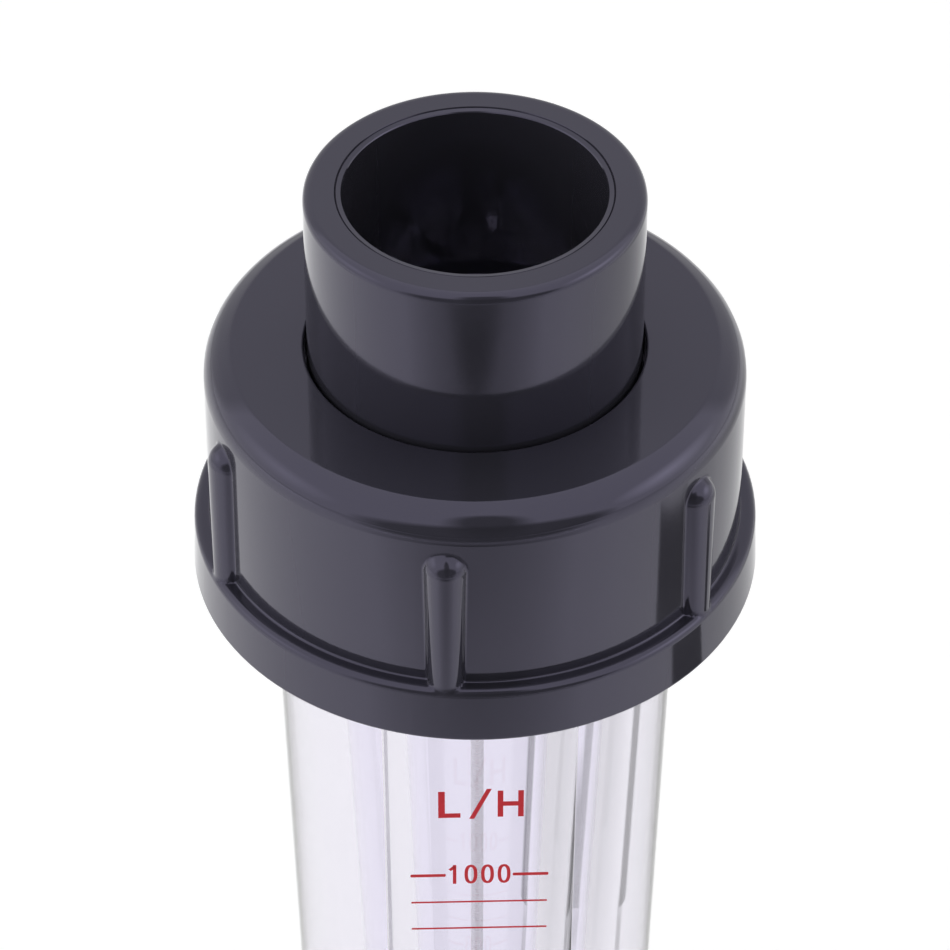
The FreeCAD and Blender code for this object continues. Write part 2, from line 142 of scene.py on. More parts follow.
def skin_piece(name, points, faces, body, replaced=()):
    """A smooth mesh object from points in millimetres that rides a body and stands for CAD nodes."""
    mesh = bpy.data.meshes.new(name)
    mesh.from_pydata((np.asarray(points) * MM).tolist(), [], [list(face) for face in faces])
    shell = bmesh.new()
    shell.from_mesh(mesh)
    bmesh.ops.recalc_face_normals(shell, faces=shell.faces)
    shell.to_mesh(mesh)
    shell.free()
    mesh.shade_smooth()
    mesh.set_sharp_from_angle(angle=math.radians(SHARP_ANGLE))
    piece = bpy.data.objects.new(name, mesh)
    bpy.context.scene.collection.objects.link(piece)
    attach(piece, body)
    if replaced:
        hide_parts(*replaced)
    return piece


def grid_piece(name, points, body, replaced=()):
    """A closed skin through a grid of points in millimetres, which wraps round both ways."""
    rows, columns = points.shape[:2]
    index = np.arange(rows * columns).reshape(rows, columns)
    below = np.roll(index, -1, axis=0)
    quads = np.stack([index, np.roll(index, -1, axis=1), np.roll(below, -1, axis=1), below], axis=-1)
    return skin_piece(name, points.reshape(-1, 3), quads.reshape(-1, 4), body, replaced)


def rounded(corners, steps=5, support=0.07):
    """The outline through (r, z, rounding) corners, with arcs for corners and points close beside them."""
    outline = []
    count = len(corners)
    for index, (r, z, rounding) in enumerate(corners):
        corner = np.array((r, z), float)
        if not rounding:
            outline.append(corner)
            continue
        back = np.array(corners[index - 1][:2]) - corner
        on = np.array(corners[(index + 1) % count][:2]) - corner
        back /= np.linalg.norm(back)
        on /= np.linalg.norm(on)
        half = math.acos(float(back @ on)) / 2
        centre = corner + (back + on) / np.linalg.norm(back + on) * rounding / math.sin(half)
        first = corner + back * rounding / math.tan(half)
        last = corner + on * rounding / math.tan(half)
        start = math.atan2(*(first - centre)[::-1])
        sweep = (math.atan2(*(last - centre)[::-1]) - start + math.pi) % FULL_TURN - math.pi
        outline.append(first + back * support)
        for step in range(steps + 1):
            angle = start + sweep * step / steps
            outline.append(centre + rounding * np.array((math.cos(angle), math.sin(angle))))
        outline.append(last + on * support)
    return np.array(outline)


def lathe(outline, angles):
    """A grid of points from an outline of (r, z) points turned to each of the angles."""
    r, z = np.asarray(outline).T
    return np.stack([np.outer(r, np.cos(angles)), np.outer(r, np.sin(angles)),
                     np.repeat(z[:, None], len(angles), axis=1)], axis=-1)


def round_union(first, second, radius):
    """Signed distance to two joined solids with a fillet of that radius in the corner."""
    corner = np.hypot(np.maximum(radius - first, 0), np.maximum(radius - second, 0))
    return np.maximum(radius, np.minimum(first, second)) - corner


# The bead and the groove between it and the rim, as (outwards from the bore, below the rim) points.
MOUTH_BEAD = [(0, 0.20), (0.06, 0.11), (0.41, 0.05)]
MOUTH_GROOVE = [(0.48, 0.15), (0.55, 0)]
SOCKET_COLUMNS = 288


def pipe_socket(name, body, node, to_world):
    """Plain pipe socket with a rounded rim, a fine bead round the bore's mouth and a collar."""
    length = SOCKET_TOP - SOCKET_FOOT
    outline = rounded([
        (BARREL_R, 0, BARREL_EDGE),
        (BARREL_R, BARREL_LENGTH, 0.15),
        (COLLAR_R, BARREL_LENGTH, COLLAR_EDGE),
        (COLLAR_R, length, COLLAR_EDGE),
        (THROUGH_R, length, 0.2),
        (THROUGH_R, PIPE_DEPTH, 0.15),
        (PIPE_R, PIPE_DEPTH, 0.1),
        *[(PIPE_R + out, below, 0) for out, below in MOUTH_BEAD + MOUTH_GROOVE],
    ])
    angles = np.linspace(0, FULL_TURN, SOCKET_COLUMNS, endpoint=False)
    return grid_piece(name, to_world(lathe(outline, angles)), body, [node])


def nut_distance(r, z, aside):
    """Signed distance to the nut's outside, at an angle aside from the nearest rib."""
    side = r - NUT_R
    middle = (FLANGE_START + NUT_HEIGHT) / 2
    wall = FLANGE_R - FLANGE_DRAFT * np.clip((NUT_HEIGHT - z) / (NUT_HEIGHT - FLANGE_START), 0, 1)
    out = np.stack([r - (wall - FLANGE_EDGE),
                    np.abs(z - middle) - (NUT_HEIGHT - middle - FLANGE_EDGE)])
    flange = np.hypot(*np.maximum(out, 0)) + np.minimum(out.max(axis=0), 0) - FLANGE_EDGE
    across = r * np.sin(aside)
    outward = r * np.cos(aside)
    top = np.array((RIB_LINE_R - RIB_TOP_R, RIB_DROP + RIB_TOP_R))
    foot = np.array((RIB_LINE_R - RIB_FOOT_R, FLANGE_START + RIB_SINK))
    axis = foot - top
    along = np.clip(((outward - top[0]) * axis[0] + (z - top[1]) * axis[1]) / (axis @ axis), 0, 1)
    radius = RIB_TOP_R + (RIB_FOOT_R - RIB_TOP_R) * along
    away = np.hypot(outward - top[0] - axis[0] * along, z - top[1] - axis[1] * along)
    rib = np.hypot(away, across) - radius
    return round_union(round_union(side, flange, FLANGE_ROOT), rib, RIB_ROOT)


NEARLY = 1e-6
LIFT_START = FLANGE_START - 4.5
LIFT_SPAN = 3.9
MOST_GROWTH = 2.6
HALVINGS = 26


def nut_outline():
    """Outline of the nut between two ribs, from its lip face at zero, and which way each point may grow.

    The shoulder starts at a crisp line, and rows lie close together along a rib's dome and foot.
    """
    corners = rounded([
        (NUT_HOLE_R, 0, 0.2),
        (NUT_R, 0, SHOULDER),
        (NUT_R, FLANGE_START, FLANGE_ROOT),
        (FLANGE_R - FLANGE_DRAFT, FLANGE_START, FLANGE_EDGE),
        (FLANGE_R, NUT_HEIGHT, FLANGE_FOOT_EDGE),
        (NUT_THREAD_ROOT_R + LEAD_IN, NUT_HEIGHT, 0.1),
        (NUT_THREAD_ROOT_R, NUT_HEIGHT - LEAD_IN, 0.1),
        (NUT_THREAD_ROOT_R, LIP_THICKNESS, 0.3),
        (NUT_HOLE_R, LIP_THICKNESS, 0.2),
    ], steps=6)
    r, z = corners.T
    corners = corners[(r <= NUT_R - SHOULDER - 0.1) | (r >= SHOULDER_LINE) | (z >= 0.2)]
    r, z = corners.T
    at = np.flatnonzero((r >= SHOULDER_LINE) & (z < 1))[0]
    crisp = [(SHOULDER_LINE - 0.2, 0), (SHOULDER_LINE - 0.1, 0), (SHOULDER_LINE, 0.012)]
    corners = np.insert(corners, at, crisp, axis=0)
    r, z = corners.T
    shoulder_foot = np.flatnonzero((np.abs(r - NUT_R) < NEARLY) & (z < 5))[-1] + 1
    # Millimetres down the nut's side from its lip face.
    dome = np.arange(RIB_DROP - 0.6, RIB_DROP + RIB_TOP_R + 0.4, 0.085)
    bar = np.linspace(dome[-1] + 0.4, LIFT_START, 10)
    bend = np.linspace(bar[-1] + 0.35, FLANGE_START - FLANGE_ROOT - 0.15, 14)
    rows = np.concatenate([dome, bar, bend])
    side = np.stack([np.full(len(rows), NUT_R), rows], axis=1)
    outline = np.concatenate([corners[:shoulder_foot], side, corners[shoulder_foot:]])

    # Beside the flange a rib's skin moves up as well as out, so that the rows don't cross.
    lift = np.clip((outline[:, 1] - LIFT_START) / LIFT_SPAN, 0, 1) * math.radians(45)
    outside = (outline[:, 0] > NUT_R - NEARLY) & (outline[:, 1] < FLANGE_START + FLANGE_EDGE + NEARLY)
    growth = np.stack([np.cos(lift), -np.sin(lift)], axis=1) * outside[:, None]
    return outline, growth


def nut_angles():
    """Angles round the nut from a rib at zero, close together on the ribs' flanks."""
    # Millimetres along the nut's side from a rib's middle.
    crown = np.arange(-1.2, 1.21, 0.16)
    flank = np.arange(1.27, 2.35, 0.075)
    rib = np.degrees(np.concatenate([-flank[::-1], crown, flank]) / NUT_R)
    sector = 360 / RIB_COUNT
    plain = np.linspace(rib[-1], sector + rib[0], 18)[1:-1]
    one = np.concatenate([rib, plain])
    return np.radians(np.concatenate([one + sector * index for index in range(RIB_COUNT)]))


def union_nut(name, body, node, to_world, turn):
    """Ribbed union nut: a turned outline whose ribs are grown out of it, with a fillet round each rib."""
    outline, growth = nut_outline()
    angles = nut_angles()
    sector = FULL_TURN / RIB_COUNT
    aside = (angles + sector / 2) % sector - sector / 2
    r, z = outline[:, :1], outline[:, 1:]
    out, up = growth[:, :1], growth[:, 1:]
    near = np.zeros((len(outline), len(angles)))
    far = np.full(near.shape, MOST_GROWTH)
    for _ in range(HALVINGS):
        middle = (near + far) / 2
        inside = nut_distance(r + middle * out, z + middle * up, aside) < 0
        near = np.where(inside, middle, near)
        far = np.where(inside, far, middle)
    grown_r = r + near * out
    grown_z = z + near * up
    world = angles + math.radians(turn)
    points = np.stack([grown_r * np.cos(world), grown_r * np.sin(world), grown_z], axis=-1)
    return grid_piece(name, to_world(points), body, [node])


FLAT_COLUMNS = 25
EDGE_COLUMNS = 6
BACK_COLUMNS = 180
TAPER_STEPS = 40
BORE_STEPS = 24


def flat_edge_x(radius):
    """How far the flat's sharp edge lies from its middle, where the tube has a radius."""
    return math.sqrt(radius ** 2 - (radius - FLAT_DEPTH) ** 2)


def round_section(radius):
    """Points round a section of the tube without the flat, as many as with it."""
    half = math.acos((radius - FLAT_DEPTH) / radius)
    front = np.linspace(-half, half, FLAT_COLUMNS)[1:-1]
    edge = np.linspace(half - 0.01, half, EDGE_COLUMNS)
    back = half + (FULL_TURN - 2 * half) * np.linspace(0, 1, BACK_COLUMNS)[1:-1]
    angles = np.concatenate([front, edge, back, -edge[::-1]])
    return radius * np.sin(angles), -radius * np.cos(angles)


def flat_section(radius):
    """Points round a section of the tube with the flat, whose edges are slightly rounded."""
    depth = radius - FLAT_DEPTH
    centre_x = math.sqrt((radius - FLAT_EDGE) ** 2 - (depth - FLAT_EDGE) ** 2)
    turned = math.atan2(centre_x, depth - FLAT_EDGE)
    front = np.linspace(-centre_x, centre_x, FLAT_COLUMNS)[1:-1]
    edge = np.linspace(0, turned, EDGE_COLUMNS)
    edge_x = centre_x + FLAT_EDGE * np.sin(edge)
    edge_y = -(depth - FLAT_EDGE) - FLAT_EDGE * np.cos(edge)
    back = turned + (FULL_TURN - 2 * turned) * np.linspace(0, 1, BACK_COLUMNS)[1:-1]
    x = np.concatenate([front, edge_x, radius * np.sin(back), -edge_x[::-1]])
    y = np.concatenate([np.full(len(front), -depth), edge_y, -radius * np.cos(back), edge_y[::-1]])
    return x, y


def measuring_tube():
    """Clear tube: tapered outside and bore, a front flat, threaded ends and seats for seals and supports."""
    threaded_end = rounded([
        (GROOVE_OUTER_R, 0, 0),
        (THREAD_CORE_R - LEAD_IN, 0, 0),
        (THREAD_CORE_R, LEAD_IN, 0),
        (THREAD_CORE_R, THREAD_LENGTH, 0.15),
        (TUBE_FOOT_R, TAPER_FOOT, 0),
    ])
    seats = [
        (GROOVE_OUTER_R, GROOVE_DEPTH),
        (GROOVE_INNER_R, GROOVE_DEPTH),
        (GROOVE_INNER_R, 0),
        (SEAT_R, 0),
        (SEAT_R, SEAT_DEPTH),
    ]
    rows = []

    def add_row(section, radius, height):
        """A row of points round the tube, at a height from its foot."""
        x, y = section(radius)
        rows.append(np.stack([x, y, np.full(len(x), height + TUBE_FOOT)], axis=-1))

    for radius, height in threaded_end:
        add_row(round_section, radius, height)
    for step in range(TAPER_STEPS + 1):
        part = step / TAPER_STEPS
        radius = TUBE_FOOT_R + (TUBE_HEAD_R - TUBE_FOOT_R) * part
        add_row(flat_section, radius, TAPER_FOOT + (TAPER_HEAD - TAPER_FOOT) * part)
    add_row(round_section, TUBE_HEAD_R, TAPER_HEAD)
    for radius, height in threaded_end[-2::-1]:
        add_row(round_section, radius, TUBE_LENGTH - height)
    for radius, drop in seats:
        add_row(round_section, radius, TUBE_LENGTH - drop)
    add_row(round_section, BORE_HEAD_R, TUBE_LENGTH - SEAT_DEPTH)
    for step in range(BORE_STEPS + 1):
        part = step / BORE_STEPS
        height = (TUBE_LENGTH - SEAT_DEPTH) * (1 - part) + BORE_START * part
        radius = BORE_HEAD_R + (BORE_FOOT_R - BORE_HEAD_R) * part
        add_row(round_section, radius, height - (0.02 if step == 0 else 0))
    add_row(round_section, BORE_FOOT_R, SEAT_DEPTH)
    for radius, drop in seats[::-1]:
        add_row(round_section, radius, drop)
    return grid_piece("tube_clear", np.array(rows), "tube", ["measuring_tube"])


RIDGE_SUNK = 0.12
RIDGE_EDGE = 0.06
RIDGE_STEPS = 72
RIDGE_FADE = 50


def helix_ridge(name, body, base_r, crest_r, start, end):
    """A right-handed thread ridge with faded ends, from one height to another, in millimetres."""
    turns = (end - start) / PITCH
    angle = np.linspace(0, FULL_TURN * turns, int(turns * RIDGE_STEPS) + 1)
    fade = np.clip(np.minimum(angle, angle[-1] - angle) / math.radians(RIDGE_FADE), 0, 1)
    rise = start + PITCH * angle / FULL_TURN
    outwards = np.sign(crest_r - base_r)
    sunk = base_r - outwards * RIDGE_SUNK
    crest = base_r + (crest_r - base_r) * fade
    edge = crest - outwards * RIDGE_EDGE
    rings = []
    for radius, shift in ((sunk, -0.95), (base_r, -0.88), (edge, -0.42), (crest, -0.34),
                          (crest, 0.34), (edge, 0.42), (base_r, 0.88), (sunk, 0.95)):
        along = rise + shift * (0.35 + 0.65 * fade)
        rings.append(np.stack([radius * np.cos(angle), radius * np.sin(angle), along], axis=-1))
    points = np.array(rings).transpose(1, 0, 2)
    rows, columns = points.shape[:2]
    index = np.arange(rows * columns).reshape(rows, columns)
    side = np.roll(index, -1, axis=1)
    faces = np.stack([index[:-1], side[:-1], side[1:], index[1:]], axis=-1).reshape(-1, 4).tolist()
    faces += [index[0].tolist(), index[-1][::-1].tolist()]
    return skin_piece(name, points.reshape(-1, 3), faces, body)


def upwards(height):
    """What draws points upwards from a height, as on the inlet end."""
    return lambda points: points + np.array((0, 0, height))


def downwards(height):
    """What draws points downwards from a height, as on the outlet end."""
    return lambda points: points * np.array((1, -1, -1)) + np.array((0, 0, height))


inlet_socket = pipe_socket("inlet_end_socket", "inlet_end", "inlet_socket", upwards(SOCKET_FOOT))
outlet_socket = pipe_socket("outlet_end_socket", "outlet_end", "outlet_socket", downwards(METER_TOP))
inlet_nut = union_nut("inlet_ring_nut", "inlet_ring", "inlet_nut", upwards(NUT_FOOT), INLET_NUT_TURN)
outlet_nut = union_nut("outlet_ring_nut", "outlet_ring", "outlet_nut", downwards(METER_TOP - NUT_FOOT),
                       OUTLET_NUT_TURN)
tube = measuring_tube()

# Each thread starts clear of the tube's end and stops before the taper. A nut's ridge lies between the turns
# of the tube's ridge, half a pitch nearer to the tube's middle.
END_ROOM = 1.6
TAPER_ROOM = 1.2
inlet_thread = np.array((TUBE_FOOT + END_ROOM, TUBE_FOOT + THREAD_LENGTH - TAPER_ROOM))
outlet_thread = np.array((TUBE_TOP - THREAD_LENGTH + TAPER_ROOM, TUBE_TOP - END_ROOM))
threads = [
    helix_ridge("inlet_tube_thread", "tube", THREAD_CORE_R, THREAD_CREST_R, *inlet_thread),
    helix_ridge("outlet_tube_thread", "tube", THREAD_CORE_R, THREAD_CREST_R, *outlet_thread),
]
nut_threads = [
    helix_ridge("inlet_nut_thread", "inlet_ring", NUT_THREAD_ROOT_R, NUT_THREAD_CREST_R,
                *inlet_thread + PITCH / 2),
    helix_ridge("outlet_nut_thread", "outlet_ring", NUT_THREAD_ROOT_R, NUT_THREAD_CREST_R,
                *outlet_thread - PITCH / 2),
]


# The print on the flat, and the painted shade line along the flat's edge.

TAPER = (TUBE_HEAD_R - TUBE_FOOT_R) / (TAPER_HEAD - TAPER_FOOT)
FLAT_LEAN = math.atan(TAPER)
INK_PROUD = 0.015
INK_BOLD = 0.075
PRINT_MIDDLE = -0.04
UNIT_HEIGHT = 123.67
UNIT_SIZE = 4.25

FLOW_TOP = 1000
FLOW_FOOT = 100
FLOW_STEP = 50
FLOW_NUMBERED = 200
SCALE_TOP = 115.33
SCALE_FOOT = 61.0
SCALE_CURVE = 0.07
LINE_HALF = 5.58
LINE_BOLD = 0.34
LINE_FINE = 0.20
NUMBER_RAISE = 0.09
FIGURE_STEP = 1.355
FIGURE_HALF_WIDTH = 0.386
FIGURE_HALF_HEIGHT = 0.99
FIGURE_STROKE = 0.29


def tube_radius(height):
    """Outside radius of the taper at a height of the whole meter."""
    return TUBE_FOOT_R + (height - TUBE_FOOT - TAPER_FOOT) * TAPER


def flat_point(x, height):
    """The point of the flat at a height, slightly proud of the plastic, in millimetres."""
    return np.array((x, -(tube_radius(height) - FLAT_DEPTH + INK_PROUD), height))


def flow_height(flow):
    """Height of a flow on the scale, whose lines stand slightly wider apart towards the top."""
    part = (flow - FLOW_FOOT) / (FLOW_TOP - FLOW_FOOT)
    return SCALE_FOOT + (SCALE_TOP - SCALE_FOOT) * part * (1 - SCALE_CURVE + SCALE_CURVE * part)


def ink_shape(name, *outlines):
    """Flat shapes on the flat in one piece, each from an outline of (across, height) points."""
    points, faces = [], []
    for outline in outlines:
        faces.append(list(range(len(points), len(points) + len(outline))))
        points += [flat_point(x, height) for x, height in outline]
    mesh = bpy.data.meshes.new(name)
    mesh.from_pydata((np.array(points) * MM).tolist(), [], faces)
    shape = bpy.data.objects.new(name, mesh)
    bpy.context.scene.collection.objects.link(shape)
    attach(shape, "tube")
    return shape


def ink_line(name, x_from, x_to, height, thickness):
    """A printed line, level across the flat, with slightly rounded ends."""
    half = thickness / 2
    outline = []
    for x, side in ((x_to, 1), (x_from, -1)):
        for step in range(7):
            turn = math.radians(-90 + 30 * step)
            end_x = x - side * half * 0.4 * (1 - math.cos(turn))
            outline.append((end_x, height + side * half * math.sin(turn)))
    return ink_shape(name, outline)


def ink_stroke(name, x_foot, foot, x_head, head, thickness):
    """A slanting printed stroke with level ends."""
    half = thickness / 2 * math.hypot(x_head - x_foot, head - foot) / (head - foot)
    return ink_shape(name, [(x_foot - half, foot), (x_foot + half, foot),
                            (x_head + half, head), (x_head - half, head)])


def ring(middle, half_width, half_height, steps=20):
    """A closed stroke round an upright oval whose sides are slightly straightened."""
    path = []
    for step in range(steps + 1):
        turn = FULL_TURN * step / steps
        bend = [math.copysign(abs(part) ** 0.85, part) for part in (math.cos(turn), math.sin(turn))]
        path.append((bend[0] * half_width, middle + bend[1] * half_height))
    return path


# Strokes of the figures on the scale, from -1 to 1 across and upwards.
FIGURES = {
    "0": [ring(0, 1, 1)],
    "1": [[(0.05, -1.14), (0.05, 1.14)], [(-1.0, 0.52), (0.1, 0.95)]],
    "2": [[(-0.97, 0.45), (-0.85, 0.75), (-0.5, 0.96), (0, 1), (0.55, 0.94), (0.9, 0.7), (0.93, 0.4),
           (0.7, 0.05), (-0.2, -0.5), (-0.7, -0.78), (-0.95, -1)], [(-1.15, -1), (1.2, -1)]],
    "4": [[(0.4, -1.14), (0.4, 1.14)], [(0.3, 1.05), (-1.1, -0.45)], [(-1.25, -0.45), (1.2, -0.45)]],
    "6": [[(0.9, 0.6), (0.65, 0.9), (0.1, 1), (-0.5, 0.9), (-0.9, 0.45), (-1, -0.3)], ring(-0.38, 1, 0.62)],
    "8": [ring(0.52, 0.86, 0.48), ring(-0.45, 1, 0.55)],
}


def ribbon(path, thickness):
    """The quads of a printed stroke of even width along a path."""
    path = np.array(path, float)
    along = np.gradient(path, axis=0)
    if len(path) > 2 and np.allclose(path[0], path[-1]):
        along[0] = along[-1] = path[1] - path[-2]
    along /= np.linalg.norm(along, axis=1, keepdims=True)
    aside = np.stack([-along[:, 1], along[:, 0]], axis=1) * thickness / 2
    one, other = path + aside, path - aside
    return list(zip(one, one[1:], other[1:], other))


def ink_number(name, number, x, height):
    """A scale's number in narrow figures of even stroke."""
    figures = str(number)
    quads = []
    for place, figure in enumerate(figures):
        middle = x + FIGURE_STEP * (place - (len(figures) - 1) / 2)
        for path in FIGURES[figure]:
            drawn = [(middle + FIGURE_HALF_WIDTH * a, height + FIGURE_HALF_HEIGHT * b) for a, b in path]
            quads += ribbon(drawn, FIGURE_STROKE)
    return ink_shape(name, *quads)


def ink_word(name, word, x, height, size, stretch):
    """Printed characters, with their middle at a place on the flat."""
    curve = bpy.data.curves.new(name, "FONT")
    curve.body = word
    curve.size = size * MM
    curve.align_x = "CENTER"
    curve.align_y = "CENTER"
    curve.resolution_u = 6
    curve.offset = INK_BOLD * MM
    drawn = bpy.data.objects.new(name + "_drawn", curve)
    bpy.context.scene.collection.objects.link(drawn)
    bpy.context.view_layer.update()
    mesh = bpy.data.meshes.new_from_object(drawn.evaluated_get(bpy.context.evaluated_depsgraph_get()))
    bpy.data.objects.remove(drawn)
    mesh.name = name
    levels = [vertex.co.y for vertex in mesh.vertices]
    middle = (max(levels) + min(levels)) / 2
    for vertex in mesh.vertices:
        across = x + vertex.co.x / MM * stretch
        rise = (vertex.co.y - middle) / MM * math.cos(FLAT_LEAN)
        vertex.co = (flat_point(across, height + rise) * MM).tolist()
    written = bpy.data.objects.new(name, mesh)
    bpy.context.scene.collection.objects.link(written)
    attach(written, "tube")
    return written


def edge_mark():
    """Painted shade: a faint dark line along the flat's left edge, from one end of the taper to the other."""
    ends = (TUBE_FOOT + TAPER_FOOT + 0.3, TUBE_FOOT + TAPER_HEAD - 0.3)
    left, right = [], []
    for height in np.linspace(*ends, 12):
        edge = -flat_edge_x(tube_radius(height))
        left.append((edge + 0.15, height))
        right.append((edge + 0.43, height))
    return ink_shape("tube_painted_edge_shade", *zip(left, right, right[1:], left[1:]))


def printed_scale():
    """Unit, numbers and lines of the scale, each a piece of its own."""
    pieces = [
        ink_word("unit_litre", "L", PRINT_MIDDLE - 2.55, UNIT_HEIGHT - 0.01, UNIT_SIZE, 0.96),
        ink_stroke("unit_per", PRINT_MIDDLE - 0.62, UNIT_HEIGHT - 1.69,
                   PRINT_MIDDLE + 0.80, UNIT_HEIGHT + 1.76, 0.38),
        ink_word("unit_hour", "H", PRINT_MIDDLE + 2.53, UNIT_HEIGHT + 0.01, UNIT_SIZE, 0.81),
    ]
    for flow in range(FLOW_FOOT, FLOW_TOP + 1, FLOW_STEP):
        name = "scale_%d" % flow
        height = flow_height(flow)
        if flow % FLOW_NUMBERED and flow != FLOW_FOOT:
            ends = (PRINT_MIDDLE - LINE_HALF, PRINT_MIDDLE + LINE_HALF)
            pieces.append(ink_line(name, *ends, height, LINE_FINE))
            continue
        gap = FIGURE_STEP * len(str(flow)) / 2 + 0.02
        pieces += [
            ink_number(name, flow, PRINT_MIDDLE, height + NUMBER_RAISE),
            ink_line(name + "_left", PRINT_MIDDLE - LINE_HALF - 0.05, PRINT_MIDDLE - gap, height, LINE_BOLD),
            ink_line(name + "_right", PRINT_MIDDLE + gap, PRINT_MIDDLE + LINE_HALF + 0.08, height, LINE_BOLD),
        ]
    return pieces


prints = printed_scale()
edge_shade_piece = edge_mark()


# Materials.

def new_material(name):
    """A material with its node tree and its shader."""
    material = bpy.data.materials.new(name)
    material.use_nodes = True
    tree = material.node_tree
    return material, tree, tree.nodes["Principled BSDF"]


def object_point(tree):
    """The place on the piece itself."""
    return tree.nodes.new("ShaderNodeTexCoord").outputs["Object"]


def noise(tree, scale, detail=3.0, roughness=0.5):
    """Noise with features of about one over scale, in metres on the piece itself."""
    node = tree.nodes.new("ShaderNodeTexNoise")
    node.inputs["Scale"].default_value = scale
    node.inputs["Detail"].default_value = detail
    node.inputs["Roughness"].default_value = roughness
    tree.links.new(object_point(tree), node.inputs["Vector"])
    return node.outputs["Fac"]


def spread(tree, source, low, high, from_low=0.3, from_high=0.7):
    """A value that runs from low to high as the source does between its own two levels."""
    node = tree.nodes.new("ShaderNodeMapRange")
    node.inputs["From Min"].default_value = from_low
    node.inputs["From Max"].default_value = from_high
    node.inputs["To Min"].default_value = low
    node.inputs["To Max"].default_value = high
    tree.links.new(source, node.inputs["Value"])
    return node.outputs["Result"]


def either(tree, chooser, first, second):
    """The first value where the chooser is zero, the second where it is one."""
    node = tree.nodes.new("ShaderNodeMix")
    tree.links.new(chooser, node.inputs[0])
    for socket, amount in ((node.inputs[2], first), (node.inputs[3], second)):
        if isinstance(amount, (int, float)):
            socket.default_value = amount
        else:
            tree.links.new(amount, socket)
    return node.outputs[0]


def mix_colour(tree, factor, first, second):
    """A colour that runs from the first to the second as the factor does from zero to one."""
    node = tree.nodes.new("ShaderNodeMix")
    node.data_type = "RGBA"
    tree.links.new(factor, node.inputs[0])
    node.inputs[6].default_value = (*first, 1)
    node.inputs[7].default_value = (*second, 1)
    return node.outputs[2]


def bump(tree, shader, height, strength, distance):
    """Fine relief on a shader, with its depth in millimetres."""
    node = tree.nodes.new("ShaderNodeBump")
    node.inputs["Strength"].default_value = strength
    node.inputs["Distance"].default_value = distance * MM
    tree.links.new(height, node.inputs["Height"])
    tree.links.new(node.outputs["Normal"], shader.inputs["Normal"])


def dark_plastic():
    """Glossy moulded PVC: nearly black, with a faint violet tint in what it mirrors."""
    material, tree, shader = new_material("dark_plastic")
    cloud = noise(tree, 60, 2)
    colour = mix_colour(tree, spread(tree, cloud, 0, 1), (0.0300, 0.0290, 0.0382), (0.0330, 0.0320, 0.0420))
    tree.links.new(colour, shader.inputs["Base Color"])
    tree.links.new(spread(tree, noise(tree, 160, 3), 0.055, 0.085, 0.2, 0.8), shader.inputs["Roughness"])
    shader.inputs["IOR"].default_value = 1.675
    shader.inputs["Specular Tint"].default_value = (0.735, 0.69, 1.0, 1)
    bump(tree, shader, noise(tree, 420, 1), 0.03, 0.006)
    return material


def clear_plastic(name="clear_plastic", tint=(0.920, 0.899, 0.980), tarnish=0.02):
    """Clear moulded plastic. Rays to a lamp go straight through, so that it casts a light shadow."""
    material, tree, shader = new_material(name)
    shader.inputs["Base Color"].default_value = (*tint, 1)
    shader.inputs["Transmission Weight"].default_value = 1
    shader.inputs["IOR"].default_value = 1.49
    tree.links.new(spread(tree, noise(tree, 200, 3), 0, tarnish, 0.2, 0.8), shader.inputs["Roughness"])
    bump(tree, shader, noise(tree, 130, 1), 0.06, 0.02)
    path = tree.nodes.new("ShaderNodeLightPath")
    through = tree.nodes.new("ShaderNodeBsdfTransparent")
    through.inputs["Color"].default_value = (0.93, 0.92, 0.95, 1)
    blend = tree.nodes.new("ShaderNodeMixShader")
    output = tree.nodes["Material Output"]
    tree.links.new(path.outputs["Is Shadow Ray"], blend.inputs[0])
    tree.links.new(shader.outputs[0], blend.inputs[1])
    tree.links.new(through.outputs[0], blend.inputs[2])
    tree.links.new(blend.outputs[0], output.inputs["Surface"])
    return material


def red_ink():
    """Screen-printed red with slightly uneven cover."""
    material, tree, shader = new_material("red_ink")
    cover = spread(tree, noise(tree, 2500, 3), 0, 1)
    colour = mix_colour(tree, cover, (0.69, 0.024, 0.038), (0.77, 0.032, 0.048))
    tree.links.new(colour, shader.inputs["Base Color"])
    shader.inputs["Roughness"].default_value = 0.5
    shader.inputs["Specular IOR Level"].default_value = 0.25
    return material


def edge_shade():
    """Half-clear grey for the painted shade line along the flat's edge, slightly uneven along its length."""
    material, tree, _ = new_material("edge_shade")
    grey = tree.nodes.new("ShaderNodeBsdfDiffuse")
    grey.inputs["Color"].default_value = (0.30, 0.27, 0.37, 1)
    see_through = tree.nodes.new("ShaderNodeBsdfTransparent")
    mix = tree.nodes.new("ShaderNodeMixShader")
    tree.links.new(spread(tree, noise(tree, 60, 2), 0.30, 0.42), mix.inputs[0])
    tree.links.new(see_through.outputs[0], mix.inputs[1])
    tree.links.new(grey.outputs[0], mix.inputs[2])
    tree.links.new(mix.outputs[0], tree.nodes["Material Output"].inputs["Surface"])
    return material


def turned_steel():
    """Bright stainless steel with fine marks left by the lathe, round the axis."""
    material, tree, shader = new_material("turned_steel")
    shader.inputs["Base Color"].default_value = (0.76, 0.755, 0.745, 1)
    shader.inputs["Metallic"].default_value = 1
    mapping = tree.nodes.new("ShaderNodeMapping")
    mapping.inputs["Scale"].default_value = (60, 60, 9000)
    tree.links.new(object_point(tree), mapping.inputs["Vector"])
    marks = tree.nodes.new("ShaderNodeTexNoise")
    marks.inputs["Scale"].default_value = 1
    marks.inputs["Detail"].default_value = 2
    tree.links.new(mapping.outputs["Vector"], marks.inputs["Vector"])
    tree.links.new(spread(tree, marks.outputs["Fac"], 0.22, 0.34), shader.inputs["Roughness"])
    bump(tree, shader, marks.outputs["Fac"], 0.09, 0.01)
    return material


